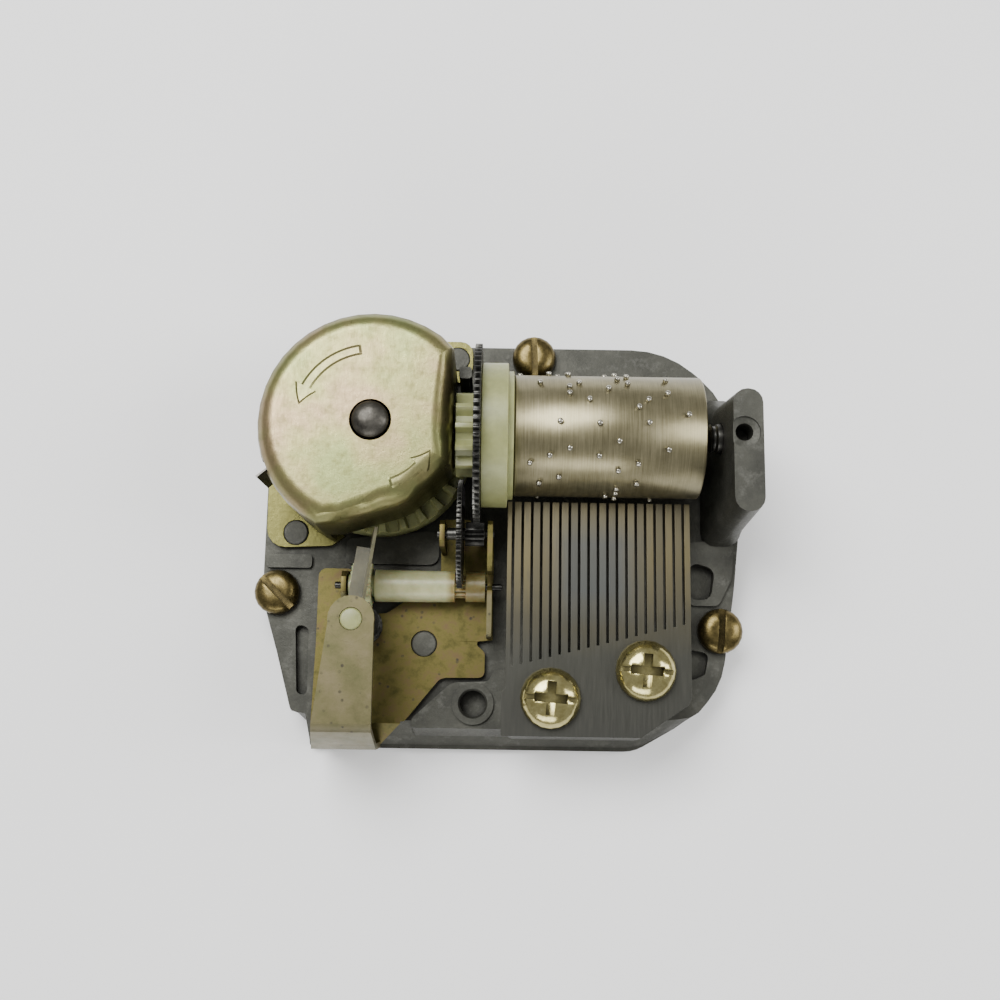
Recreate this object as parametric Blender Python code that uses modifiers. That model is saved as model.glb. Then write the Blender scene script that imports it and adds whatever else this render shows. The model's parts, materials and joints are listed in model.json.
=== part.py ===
"""Wind-up musical movement: spring motor, pinned cylinder, steel comb and air-brake governor.

Constants are in millimetres; MM turns them into metres. X runs along the cylinder, Y runs from
the comb towards the rear edge, Z runs up from the rim that the bedplate rests on.
"""
import math
import random

import bmesh
import bpy
from mathutils import Matrix, Vector

MM = 0.001
WELD = 1e-6

# Middle of the bounding box, which becomes the part's origin.
ORIGIN_X = -0.02
ORIGIN_Y = -4.065

# Bedplate casting.
FLOOR_Z = 4.1
CEILING_Z = 2.4
LIP_Z = 1.0
FRONT_Y = -25.7
LIP_BACK_Y = -25.3
SKIRT_TOP_Y = -22.8
HOLLOW_TOP_Y = -21.6
PLATFORM_Z = 9.35
LOW_PLATFORM_Z = 5.0
POST_TOP_Z = 17.25
SEAT_GAP = 0.03

# Cylinder and its axis, which runs along X.
CYL_Y = 5.15
CYL_Z = 11.55
CYL_RADIUS = 5.98
CYL_LEFT = 1.28
CYL_RIGHT = 19.45
CYL_WALL = 0.5
PIN_LENGTH = 0.4
PIN_RADIUS = 0.17
NOTES = 18
STEPS_PER_TURN = 48

# Spring motor, with a vertical axis.
MOTOR_X = -12.34
MOTOR_Y = CYL_Y
CAP_RADIUS = 11.0
CAP_FLATS = ((0.0, 7.65), (-47.0, 8.0), (-73.0, 8.4))
CAP_RIM_Z = 8.9
CAP_TOP_Z = 17.4
CAP_FILLET = 2.0
CAP_SHEET = 0.5
LEG_SPANS = ((43.0, 71.0), (207.0, 245.0))
STUD_RADIUS = 1.75
STUD_TOP_Z = 18.4

# Crown gear under the spring and the pinion that it drives.
CROWN_TEETH = 27
CROWN_OUTER = 9.4
CROWN_INNER = 7.95
CROWN_ROOT_Z = 7.05
CROWN_TIP_Z = 8.06
CROWN_FOOT_Z = 4.6
CROWN_PINION_TEETH = 12
CROWN_PINION_TIP = 4.24
CROWN_PINION_ROOT = 3.28

# Cylinder wheel to second pinion, then second wheel to governor rod.
WHEEL_TEETH = 70
WHEEL_MODULE = 0.25
LEAF_TEETH = 8
SECOND_TEETH = 62
SECOND_MODULE = 0.168
ROD_TEETH = 12
SECOND_Y = -4.6
SECOND_Z = 10.56
ROD_Y = -9.44
ROD_Z = 6.61

# Worm drive of the fan.
WORM_X = -13.76
WORM_Y = -13.39
WORM_WHEEL_TEETH = 14
WORM_WHEEL_PITCH = 2.1
WORM_WHEEL_TIP = 2.25
WORM_WHEEL_ROOT = 1.75
WORM_STARTS = 2
WORM_TIP = 2.05
WORM_ROOT = 1.42
WORM_LEAD = WORM_STARTS * 2 * math.pi * WORM_WHEEL_PITCH / WORM_WHEEL_TEETH
WORM_LENGTH = 3.2
FAN_REACH = 9.1
FAN_SHEET = 0.3
FAN_REST_TURN = -8.0
ARM_Z = 14.7
ARM_SHEET = 0.6

# Comb.
COMB_TOP_Z = 10.2
COMB_THICK = 0.8
COMB_TIP_Y = -1.24
FIRST_SLOT_X = 1.36
LAST_SLOT_X = 18.12
SLOT_WIDTH = 0.27
FIRST_SLOT_END_Y = -17.4
LAST_SLOT_END_Y = -13.15
WEIGHTED_TEETH = 8

# Governor bracket sheet and the staked rivets that hold it and the spring housing.
SHEET_Z = FLOOR_Z + SEAT_GAP
SHEET = 0.7
RIVET_RADIUS = 1.27
RIVET_HOLE = 1.34
HOUSING_RIVETS = ((-4.73, 14.95), (-21.04, -3.88))
BRACKET_RIVET = (-7.5, -15.1)

# Screws.
MOUNTING_SCREWS = {
    "mounting_screw_rear": ((3.40, 15.27), 92.0),
    "mounting_screw_left": ((-22.72, -10.05), -44.0),
    "mounting_screw_right": ((22.68, -13.36), 86.0),
}
MOUNT_HEAD = 2.3
MOUNT_SHANK = 1.2
MOUNT_HOLE = 1.35
LOBE_RADIUS = 2.2
LOBE_TOP_Z = 4.2
COMB_SCREWS = {"comb_screw_left": (5.15, -20.4), "comb_screw_right": (14.35, -17.65)}
COMB_HEAD = 2.95
COMB_SHANK = 1.25
COMB_HOLE = 1.45
SPARE_HOLE = (-2.43, -21.03)


def start_scene():
    """Empty the file and make the two collections and the empty that carries every piece."""
    for obj in list(bpy.data.objects):
        bpy.data.objects.remove(obj, do_unlink=True)
    for name in ("musical_movement", "cutters"):
        old = bpy.data.collections.get(name)
        if old:
            bpy.data.collections.remove(old)
        bpy.context.scene.collection.children.link(bpy.data.collections.new(name))
    origin = bpy.data.objects.new("movement_origin", None)
    origin.location = (-ORIGIN_X * MM, -ORIGIN_Y * MM, 0)
    bpy.data.collections["musical_movement"].objects.link(origin)
    return origin


ORIGIN = start_scene()
PARTS = bpy.data.collections["musical_movement"]
CUTTERS = bpy.data.collections["cutters"]


def make_material(name, colour, metallic, roughness):
    material = bpy.data.materials.new(name)
    material.use_nodes = True
    shader = material.node_tree.nodes["Principled BSDF"]
    shader.inputs["Base Color"].default_value = (*colour, 1)
    shader.inputs["Metallic"].default_value = metallic
    shader.inputs["Roughness"].default_value = roughness
    return material


ZINC = make_material("die_cast_zinc", (0.10, 0.105, 0.10), 0.8, 0.55)
CHROMATE = make_material("yellow_chromate_steel", (0.55, 0.50, 0.30), 0.9, 0.35)
BRASS = make_material("brass", (0.42, 0.32, 0.12), 0.95, 0.35)
STEEL = make_material("dark_steel", (0.16, 0.16, 0.16), 0.95, 0.4)
COMB_STEEL = make_material("comb_steel", (0.14, 0.14, 0.13), 0.9, 0.45)
CYLINDER_METAL = make_material("cylinder_brass", (0.45, 0.40, 0.28), 0.95, 0.35)
NYLON = make_material("cream_nylon", (0.60, 0.58, 0.36), 0.0, 0.45)
CLEAR_NYLON = make_material("clear_nylon", (0.42, 0.38, 0.24), 0.0, 0.4)
SPRING_STEEL = make_material("spring_steel", (0.20, 0.19, 0.18), 0.95, 0.35)
LEAD = make_material("lead", (0.22, 0.22, 0.23), 0.8, 0.6)


def place(obj, material, location=(0, 0, 0), along_x=False):
    """Put a finished object in the part's collection, under the origin."""
    for owner in list(obj.users_collection):
        owner.objects.unlink(obj)
    PARTS.objects.link(obj)
    obj.parent = ORIGIN
    obj.location = Vector(location) * MM
    if along_x:
        obj.rotation_euler = (math.pi / 2, 0, math.pi / 2)
    obj.data.materials.clear()
    obj.data.materials.append(material)
    return obj


def as_tool(obj, location=(0, 0, 0), along_x=False):
    """Make an object a hidden tool for a Boolean."""
    for owner in list(obj.users_collection):
        owner.objects.unlink(obj)
    CUTTERS.objects.link(obj)
    obj.parent = ORIGIN
    obj.location = Vector(location) * MM
    if along_x:
        obj.rotation_euler = (math.pi / 2, 0, math.pi / 2)
    obj.hide_render = True
    obj.display_type = "WIRE"
    return obj


def boolean(target, tool, operation):
    modifier = target.modifiers.new(f"{operation.lower()} {tool.name}", "BOOLEAN")
    modifier.operation = operation
    modifier.object = tool


def object_from(name, bm):
    mesh = bpy.data.meshes.new(name)
    bm.to_mesh(mesh)
    bm.free()
    obj = bpy.data.objects.new(name, mesh)
    bpy.context.scene.collection.objects.link(obj)
    return obj


def loft(name, rings, top=True, bottom=True):
    """Skin a row of rings that all have the same number of points."""
    bm = bmesh.new()
    rows = [[bm.verts.new(Vector(point) * MM) for point in ring] for ring in rings]
    for low, high in zip(rows, rows[1:]):
        for i in range(len(low)):
            j = (i + 1) % len(low)
            bm.faces.new((low[i], low[j], high[j], high[i]))
    if bottom:
        bm.faces.new(list(reversed(rows[0])))
    if top:
        bm.faces.new(rows[-1])
    bmesh.ops.recalc_face_normals(bm, faces=bm.faces)
    return object_from(name, bm)


def prism(name, loops, z0, z1):
    """Extrude a flat outline, whose further loops are holes, from z0 to z1."""
    curve = bpy.data.curves.new(name, "CURVE")
    curve.dimensions = "2D"
    curve.fill_mode = "BOTH"
    curve.extrude = (z1 - z0) / 2 * MM
    for loop in loops:
        spline = curve.splines.new("POLY")
        spline.points.add(len(loop) - 1)
        for point, (x, y) in zip(spline.points, loop):
            point.co = (x * MM, y * MM, 0, 1)
        spline.use_cyclic_u = True
    flat = bpy.data.objects.new(name + "_outline", curve)
    bpy.context.scene.collection.objects.link(flat)
    bpy.context.view_layer.update()
    evaluated = flat.evaluated_get(bpy.context.evaluated_depsgraph_get())
    mesh = bpy.data.meshes.new_from_object(evaluated)
    mesh.name = name
    bm = bmesh.new()
    bm.from_mesh(mesh)
    bmesh.ops.remove_doubles(bm, verts=bm.verts, dist=WELD)
    bmesh.ops.translate(bm, verts=bm.verts, vec=(0, 0, (z0 + z1) / 2 * MM))
    bmesh.ops.recalc_face_normals(bm, faces=bm.faces)
    bm.to_mesh(mesh)
    bm.free()
    obj = bpy.data.objects.new(name, mesh)
    bpy.context.scene.collection.objects.link(obj)
    bpy.data.objects.remove(flat)
    return obj


def turned(name, profile, steps=32):
    """Turn an open (radius, z) profile, listed from the top, outside and down, about Z."""
    bm = bmesh.new()
    verts = [bm.verts.new((r * MM, 0, z * MM)) for r, z in profile]
    for a, b in zip(verts, verts[1:]):
        bm.edges.new((a, b))
    if profile[0][0] > 0:
        bm.edges.new((verts[-1], verts[0]))
    obj = object_from(name, bm)
    screw = obj.modifiers.new("turn", "SCREW")
    screw.steps = steps
    screw.render_steps = steps
    screw.use_merge_vertices = True
    screw.merge_threshold = WELD
    return obj


def smooth(obj, angle=35):
    """Shade an object's own mesh smooth, with its sharp edges kept."""
    obj.data.shade_smooth()
    obj.data.set_sharp_from_angle(angle=math.radians(angle))


def box(name, low, high):
    bm = bmesh.new()
    bmesh.ops.create_cube(bm, size=1)
    size = [(b - a) * MM for a, b in zip(low, high)]
    bmesh.ops.scale(bm, verts=bm.verts, vec=size)
    middle = [(a + b) / 2 * MM for a, b in zip(low, high)]
    bmesh.ops.translate(bm, verts=bm.verts, vec=middle)
    return object_from(name, bm)


def rod(name, radius, z0, z1, segments=24):
    bm = bmesh.new()
    bmesh.ops.create_cone(bm, cap_ends=True, segments=segments, radius1=radius * MM,
                          radius2=radius * MM, depth=(z1 - z0) * MM)
    bmesh.ops.translate(bm, verts=bm.verts, vec=(0, 0, (z0 + z1) / 2 * MM))
    return object_from(name, bm)


def circle(radius, count=32, centre=(0, 0), phase=0.0):
    turns = [2 * math.pi * (i / count) + phase for i in range(count)]
    return [(centre[0] + radius * math.cos(t), centre[1] + radius * math.sin(t)) for t in turns]


def arc(radius, start, end, count):
    """Points of an arc about the origin, from one angle in degrees to another."""
    turns = [math.radians(start + (end - start) * i / count) for i in range(count + 1)]
    return [(radius * math.cos(t), radius * math.sin(t)) for t in turns]


def rounded(corners, step=30):
    """Outline from (x, y, radius) corners, anticlockwise, with an arc at each rounded corner."""
    points = []
    for i, (x, y, radius) in enumerate(corners):
        here = Vector((x, y))
        back = (Vector(corners[i - 1][:2]) - here).normalized()
        ahead = (Vector(corners[(i + 1) % len(corners)][:2]) - here).normalized()
        if radius == 0:
            points.append((x, y))
            continue
        half = back.angle(ahead) / 2
        middle = here + (back + ahead).normalized() * (radius / math.sin(half))
        start = here + back * (radius / math.tan(half)) - middle
        sweep = -start.angle_signed(here + ahead * (radius / math.tan(half)) - middle)
        count = max(2, math.ceil(abs(math.degrees(sweep)) / step))
        for k in range(count + 1):
            turned_by = Matrix.Rotation(sweep * k / count, 2)
            points.append(tuple(middle + turned_by @ start))
    return points


def toothed(teeth, tip, root, tip_share, root_share, phase=0.0):
    """Outline with trapezoid teeth, one of them centred at the phase angle in radians."""
    pitch = 2 * math.pi / teeth
    points = []
    for i in range(teeth):
        middle = phase + i * pitch
        for radius, offset in ((root, -root_share), (tip, -tip_share), (tip, tip_share),
                               (root, root_share)):
            angle = middle + offset * pitch / 2
            points.append((radius * math.cos(angle), radius * math.sin(angle)))
    return points


def gap_phase(teeth, direction):
    """Phase that puts a gap between two teeth at a direction."""
    return direction + math.pi / teeth


# ---------------------------------------------------------------- bedplate


BASE_CORNERS = (
    (-19.3, FRONT_Y, 0.5), (14.2, FRONT_Y, 4.0), (19.6, -22.6, 8.0), (22.9, -18.8, 8.0),
    (24.3, -9.0, 3.0), (24.9, -3.0, 1.5), (24.4, 10.6, 10.0), (17.5, 16.5, 10.0),
    (-14.0, 16.5, 3.0), (-20.2, 12.2, 4.0), (-24.3, 4.0, 3.0), (-24.3, -10.6, 1.0),
    (-22.6, -16.0, 2.0), (-20.9, -22.0, 1.5), (-19.3, -23.4, 0.5),
)
HOLLOW_CORNERS = (
    (-17.6, -23.9, 0.6), (13.6, -23.9, 1.2), (18.2, -21.2, 1.5), (21.1, -17.9, 1.0),
    (22.6, -9.0, 1.0), (23.2, -3.0, 1.0), (22.7, 9.9, 3.5), (16.8, 14.8, 4.5),
    (-13.5, 14.8, 2.0), (-18.6, 11.2, 2.5), (-22.6, 3.4, 2.0), (-22.6, -10.4, 0.8),
    (-20.9, -16.0, 1.5), (-19.3, -21.2, 1.0), (-17.6, -22.4, 0.5),
)


def leaned(outline, y_limit, y_front):
    """Copy an outline with the part in front of y_limit squeezed back to y_front."""
    foremost = min(y for _, y in outline)
    squeeze = (y_front - y_limit) / (foremost - y_limit)
    return [(x, y_limit + (y - y_limit) * squeeze if y < y_limit else y) for x, y in outline]


def at_height(outline, z):
    return [(x, y, z) for x, y in outline]


def add_tray():
    """Open-bottomed tray of the casting: sloped front skirt, side walls and floor."""
    outline = rounded(BASE_CORNERS, step=12)
    lip_top = leaned(outline, LIP_BACK_Y + 0.5, LIP_BACK_Y)
    floor = leaned(outline, SKIRT_TOP_Y + 0.8, SKIRT_TOP_Y)
    rings = [at_height(outline, 0), at_height(outline, LIP_Z), at_height(lip_top, LIP_Z + 0.05),
             at_height(floor, FLOOR_Z)]
    tray = place(loft("bedplate", rings), ZINC)
    hollow = rounded(HOLLOW_CORNERS, step=30)
    ceiling = leaned(hollow, HOLLOW_TOP_Y + 0.6, HOLLOW_TOP_Y)
    rings = [at_height(hollow, -1), at_height(hollow, 0.6), at_height(ceiling, CEILING_Z)]
    boolean(tray, as_tool(loft("hollow", rings)), "DIFFERENCE")
    return tray


def platform_rings(corners, foot_z, top_z, front_y):
    outline = rounded(corners, step=30)
    top = leaned(outline, front_y + 0.6, front_y)
    return [at_height(outline, foot_z), at_height(top, top_z)]


def add_platforms(bedplate):
    """Comb platform, the low shelf round the spare hole, and the pads cast on the floor."""
    comb_seat = ((1.0, -24.5, 0.6), (14.4, -24.5, 1.0), (18.4, -20.6, 1.5), (18.4, -14.6, 0.8),
                 (1.0, -18.9, 0.8))
    low_shelf = ((-8.6, -24.3, 0.5), (2.0, -24.3, 0.5), (2.0, -17.6, 0.3), (-0.3, -17.6, 0.3),
                 (-0.9, -18.8, 0.5), (-4.6, -18.95, 1.5), (-8.6, -22.6, 0.8))
    seat_rings = platform_rings(comb_seat, 3.1, PLATFORM_Z, -23.7)
    boolean(bedplate, as_tool(loft("comb_seat", seat_rings)), "UNION")
    shelf_rings = platform_rings(low_shelf, 2.85, LOW_PLATFORM_Z, -23.5)
    boolean(bedplate, as_tool(loft("low_shelf", shelf_rings)), "UNION")
    pads = {
        "pad_middle": ((-15.8, -7.0, 0.6), (-6.2, -7.0, 1.0), (-6.2, -3.4, 1.0), (-15.8, -4.4, 0.6)),
        "pad_lobe": ((-24.0, -7.5, 0.4), (-19.3, -7.5, 0.4), (-19.3, -6.1, 0.4), (-24.0, -6.1, 0.4)),
        "pad_right": ((19.4, -10.8, 0.8), (22.6, -10.8, 0.8), (24.0, -8.0, 0.8), (24.4, -4.0, 0.8),
                      (19.4, -4.2, 0.8)),
    }
    for name, corners in pads.items():
        pad = prism(name, [rounded(corners)], FLOOR_Z - 0.5, FLOOR_Z + 0.45)
        boolean(bedplate, as_tool(pad), "UNION")


def add_post(bedplate):
    """Bearing post at the cylinder's right end, drawn in towards its top."""
    foot = ((20.9, -4.6, 1.4), (24.9, -4.6, 1.4), (24.9, 10.9, 1.4), (20.9, 10.9, 1.4))
    shoulder = ((21.6, -3.9, 1.4), (24.85, -3.9, 1.4), (24.85, 9.6, 1.4), (21.6, 9.6, 1.4))
    head = ((21.9, -3.0, 1.35), (24.75, -3.0, 1.35), (24.75, 8.8, 1.35), (21.9, 8.8, 1.35))
    rings = [at_height(rounded(foot), FLOOR_Z - 1.0), at_height(rounded(foot), FLOOR_Z + 0.6),
             at_height(rounded(shoulder), FLOOR_Z + 3.0), at_height(rounded(head), POST_TOP_Z)]
    boolean(bedplate, as_tool(loft("bearing_post", rings)), "UNION")


def add_bosses(bedplate):
    """Lobes for the mounting screws, rivet posts, the spare boss, arbor boss and rear pillar."""
    for name, (centre, _) in MOUNTING_SCREWS.items():
        lobe = rod(name + "_lobe", LOBE_RADIUS, 0.05, LOBE_TOP_Z, segments=24)
        boolean(bedplate, as_tool(lobe, (*centre, 0)), "UNION")
    for i, centre in enumerate((*HOUSING_RIVETS, BRACKET_RIVET)):
        rivet = turned(f"rivet_{i}", [(0, 5.02), (RIVET_RADIUS - 0.12, 5.0), (RIVET_RADIUS, 4.92),
                                      (RIVET_RADIUS, 3.0), (0, 3.0)], steps=24)
        boolean(bedplate, as_tool(rivet, (*centre, 0)), "UNION")
    spare = rod("spare_boss", 2.1, 2.6, LOW_PLATFORM_Z + 0.35, segments=28)
    boolean(bedplate, as_tool(spare, (*SPARE_HOLE, 0)), "UNION")
    arbor_boss = rod("arbor_boss", 3.4, 1.6, FLOOR_Z + 0.2, segments=32)
    boolean(bedplate, as_tool(arbor_boss, (MOTOR_X, MOTOR_Y, 0)), "UNION")
    pillar = ((-4.25, 10.75, 0.3), (-3.0, 10.75, 0.3), (-3.0, 11.95, 0.3), (-4.25, 11.95, 0.3))
    boolean(bedplate, as_tool(prism("rear_pillar", [rounded(pillar)], 3.5, 12.3)), "UNION")


def cut_bedplate(bedplate):
    """Holes, the slot under the cylinder wheel, pockets beside the comb and grooves."""
    for name, (centre, _) in MOUNTING_SCREWS.items():
        boolean(bedplate, as_tool(rod(name + "_hole", MOUNT_HOLE, -1, 6), (*centre, 0)),
                "DIFFERENCE")
    for name, centre in COMB_SCREWS.items():
        boolean(bedplate, as_tool(rod(name + "_tapping", COMB_SHANK + 0.1, 4.4, 12), (*centre, 0)),
                "DIFFERENCE")
    spare = turned("spare_hole", [(0, 6), (1.5, 6), (1.5, 5.36), (1.3, 5.1), (1.3, 3.0), (0, 3.0)],
                   steps=28)
    boolean(bedplate, as_tool(spare, (*SPARE_HOLE, 0)), "DIFFERENCE")
    boolean(bedplate, as_tool(rod("arbor_hole", 2.3, -1, 6), (MOTOR_X, MOTOR_Y, 0)), "DIFFERENCE")
    boolean(bedplate, as_tool(box("wheel_slot", (-2.95, -0.6, -1), (-1.65, 10.9, 6))),
            "DIFFERENCE")
    screw_hole = rod("bearing_screw_hole", 1.58, 20, 26, segments=24)
    boolean(bedplate, as_tool(screw_hole, (0, CYL_Y, CYL_Z), along_x=True), "DIFFERENCE")
    staking = turned("staking_hole", [(0, 18), (1.5, 18), (1.5, POST_TOP_Z - 0.25),
                                      (0.85, POST_TOP_Z - 0.3), (0.85, 14.2), (0, 14.2)], steps=20)
    boolean(bedplate, as_tool(staking, (22.95, 4.6, 0)), "DIFFERENCE")
    pockets = {
        "pocket_upper": ((19.6, -10.2, 0.8), (21.8, -10.2, 1.0), (22.3, -7.0, 1.0),
                         (19.6, -6.2, 0.8)),
        "pocket_lower": ((19.3, -18.6, 0.6), (21.2, -17.8, 0.6), (21.6, -15.6, 0.6),
                         (19.3, -15.2, 0.6)),
        "groove_left": ((-20.4, -20.2, 0.5), (-19.3, -20.6, 0.5), (-19.4, -13.6, 0.6),
                        (-20.8, -13.2, 0.5)),
    }
    for name, corners in pockets.items():
        boolean(bedplate, as_tool(prism(name, [rounded(corners)], FLOOR_Z - 0.9, 6)), "DIFFERENCE")


def make_bedplate():
    bedplate = add_tray()
    add_platforms(bedplate)
    add_post(bedplate)
    add_bosses(bedplate)
    cut_bedplate(bedplate)
    return bedplate


# ---------------------------------------------------------------- spring motor


def cap_radius(angle, inset=0.0):
    """Radius of the housing's outline, a circle with three flats, at an angle in degrees."""
    radius = CAP_RADIUS
    for normal, distance in CAP_FLATS:
        facing = math.cos(math.radians(angle - normal))
        if facing > 0.1:
            radius = min(radius, distance / facing)
    return radius - inset


def cap_outline(inset=0.0, step=9):
    outline = []
    for angle in range(0, 360, step):
        radius = cap_radius(angle, inset)
        outline.append((radius * math.cos(math.radians(angle)),
                        radius * math.sin(math.radians(angle))))
    return outline


def pie(radius, start, end):
    """Sector outline with its point on the motor axis."""
    return [(0, 0)] + arc(radius, start, end, 12)


def housing_lobe(name, corners, rivet):
    """Flat lug of the housing, round its rivet, as a tool in the motor's coordinates."""
    outline = [(x - MOTOR_X, y - MOTOR_Y) for x, y in rounded(corners)]
    hole = circle(RIVET_HOLE, 24, (rivet[0] - MOTOR_X, rivet[1] - MOTOR_Y))
    return prism(name, [outline, hole], SHEET_Z, SHEET_Z + SHEET)


def make_spring_housing():
    """Deep-drawn cup over the spring, with two legs that end in riveted lugs."""
    rings = [at_height(cap_outline(), SHEET_Z), at_height(cap_outline(), CAP_RIM_Z)]
    for i in range(4):
        turn = math.pi / 2 * i / 3
        inset = CAP_FILLET * (1 - math.cos(turn))
        rings.append(at_height(cap_outline(inset), CAP_TOP_Z - CAP_FILLET * (1 - math.sin(turn))))
    housing = loft("spring_housing", rings, top=True, bottom=False)
    smooth(housing, 40)
    sheet = housing.modifiers.new("sheet", "SOLIDIFY")
    sheet.thickness = CAP_SHEET * MM
    sheet.offset = -1
    sheet.use_even_offset = True
    place(housing, CHROMATE, (MOTOR_X, MOTOR_Y, 0))
    here = (MOTOR_X, MOTOR_Y, 0)
    rear, front = LEG_SPANS
    for name, start, end in (("window_left", rear[1], front[0]),
                             ("window_right", front[1] - 360, rear[0])):
        window = prism(name, [pie(16, start, end)], 2, CAP_RIM_Z)
        boolean(housing, as_tool(window, here), "DIFFERENCE")
    rear_lug = ((-6.5, 14.1, 0), (-4.95, 12.6, 0), (-4.3, 12.3, 0.4), (-3.1, 13.9, 0.9),
                (-3.1, 16.9, 1.3), (-7.4, 16.9, 0.8), (-8.15, 15.05, 0))
    front_lug = ((-24.1, 1.2, 0.4), (-24.0, -5.5, 1.9), (-17.3, -5.2, 0.9), (-16.0, -4.2, 0),
                 (-17.2, -3.2, 0), (-21.5, 0.2, 0), (-22.3, 1.2, 0))
    boolean(housing, as_tool(housing_lobe("rear_lug", rear_lug, HOUSING_RIVETS[0]), here), "UNION")
    boolean(housing, as_tool(housing_lobe("front_lug", front_lug, HOUSING_RIVETS[1]), here),
            "UNION")
    boolean(housing, as_tool(rod("stud_hole", 2.0, 16, 19, segments=28), here), "DIFFERENCE")
    pivot_hole = rod("pivot_hole", 0.75, -6, -4, segments=16)
    boolean(housing, as_tool(pivot_hole, (0, CYL_Y, CYL_Z), along_x=True), "DIFFERENCE")
    slot = box("tail_slot", (-12.0, -0.45, 9.6), (-9.0, 0.75, 16.0))
    slot.rotation_euler = (0, 0, math.radians(24))
    boolean(housing, as_tool(slot, here), "DIFFERENCE")
    return housing


def make_spring_cover():
    """Disc that keeps the spring in its cup."""
    outline = cap_outline(inset=1.0, step=12)
    return place(prism("spring_cover", [outline, circle(2.9, 24)], CAP_RIM_Z + 0.15,
                       CAP_RIM_Z + 0.5), STEEL, (MOTOR_X, MOTOR_Y, 0))


def make_mainspring():
    """Spiral steel strip: six turns round the arbor, then out to its tail in the wall slot."""
    thick = 0.22
    first_radius = STUD_RADIUS + 0.2
    coils, per_turn = 6, 12
    tail_angle = math.radians(204)
    middle = []
    for i in range(coils * per_turn + 1):
        turn = tail_angle - math.radians(110) - 2 * math.pi * (coils - i / per_turn)
        radius = first_radius + (6.8 - first_radius) * i / (coils * per_turn)
        middle.append((radius, turn))
    for i in range(1, 7):
        share = i / 6
        middle.append((6.8 + 3.7 * share ** 1.6, tail_angle - math.radians(110) * (1 - share)))
    path = [(r * math.cos(t), r * math.sin(t)) for r, t in middle]
    end = Vector(path[-1])
    outwards = Vector((math.cos(tail_angle + 0.28), math.sin(tail_angle + 0.28)))
    path.append(tuple(end + outwards * 1.6))
    left, right = [], []
    for i, point in enumerate(path):
        before = Vector(path[max(i - 1, 0)])
        after = Vector(path[min(i + 1, len(path) - 1)])
        side = (after - before).normalized().orthogonal() * thick / 2
        left.append(tuple(Vector(point) + side))
        right.append(tuple(Vector(point) - side))
    strip = prism("mainspring", [left + right[::-1]], 10.0, 15.6)
    return place(strip, SPRING_STEEL, (MOTOR_X, MOTOR_Y, 0))


def make_winding_arbor():
    """Arbor with a domed head above the housing and a threaded socket for a key below."""
    profile = [(0, STUD_TOP_Z), (0.9, STUD_TOP_Z - 0.12), (1.5, STUD_TOP_Z - 0.42),
               (STUD_RADIUS, STUD_TOP_Z - 0.75), (STUD_RADIUS, 9.6), (2.1, 9.55), (2.1, 0.7),
               (1.9, 0.4), (1.35, 0.4), (1.35, 6.0), (0, 6.6)]
    arbor = turned("winding_arbor", profile, steps=24)
    return place(arbor, STEEL, (MOTOR_X, MOTOR_Y, 0))


def make_ratchet():
    """Ratchet wheel on the arbor, the click that rides in the crown gear, and the lower ring."""
    here = (MOTOR_X, MOTOR_Y, 0)
    teeth = 12
    outline = []
    for i in range(teeth):
        angle = 2 * math.pi * i / teeth
        outline.append((4.6 * math.cos(angle), 4.6 * math.sin(angle)))
        outline.append((3.9 * math.cos(angle + 0.06), 3.9 * math.sin(angle + 0.06)))
    wheel = prism("ratchet_wheel", [outline, circle(2.15, 24)], 7.2, 8.0)
    place(wheel, STEEL, here)
    click = ((4.75, -0.5, 0), (5.4, -0.6, 0.2), (6.6, 3.4, 0.3), (6.0, 3.9, 0.3), (4.75, 0.1, 0))
    place(prism("ratchet_click", [rounded(click)], 7.1, 7.8), SPRING_STEEL, here)
    ring = arc(3.1, -150, 150, 20) + arc(2.14, 150, -150, 20)
    retaining = prism("arbor_retaining_ring", [ring], 0.9, 1.4)
    place(retaining, SPRING_STEEL, here)


def make_drive_gear():
    """Nylon crown gear: a disc whose teeth stand up in a ring near its rim."""
    here = (MOTOR_X, MOTOR_Y, 0)
    profile = [(CROWN_INNER, CROWN_TIP_Z), (CROWN_OUTER, CROWN_TIP_Z), (CROWN_OUTER, CROWN_FOOT_Z),
               (2.2, CROWN_FOOT_Z), (2.2, CROWN_ROOT_Z), (CROWN_INNER, CROWN_ROOT_Z)]
    gear = turned("drive_gear", profile, steps=CROWN_TEETH)
    place(gear, NYLON, here)
    pitch = 2 * math.pi * (CROWN_INNER + CROWN_OUTER) / 2 / CROWN_TEETH
    top_half = pitch / 2 - 0.24
    root_half = pitch / 2 - 0.48
    bm = bmesh.new()
    for i in range(CROWN_TEETH):
        turn = Matrix.Rotation(2 * math.pi * i / CROWN_TEETH, 4, "Z")
        corners = []
        for x in (CROWN_INNER - 0.6, CROWN_OUTER + 0.6):
            for y, z in ((-root_half, CROWN_ROOT_Z), (root_half, CROWN_ROOT_Z),
                         (top_half, CROWN_TIP_Z + 0.3), (-top_half, CROWN_TIP_Z + 0.3)):
                corners.append(bm.verts.new(turn @ (Vector((x, y, z)) * MM)))
        inner, outer = corners[:4], corners[4:]
        bm.faces.new(inner[::-1])
        bm.faces.new(outer)
        for k in range(4):
            bm.faces.new((inner[k], inner[(k + 1) % 4], outer[(k + 1) % 4], outer[k]))
    bmesh.ops.recalc_face_normals(bm, faces=bm.faces)
    boolean(gear, as_tool(object_from("crown_gaps", bm), here), "DIFFERENCE")
    return gear


# ---------------------------------------------------------------- cylinder


def cylinder_piece(name, loops, x0, x1, material):
    """Flat-ended piece about the cylinder's axis, from x0 to x1."""
    return place(prism(name, loops, x0, x1), material, (0, CYL_Y, CYL_Z), along_x=True)


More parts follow.
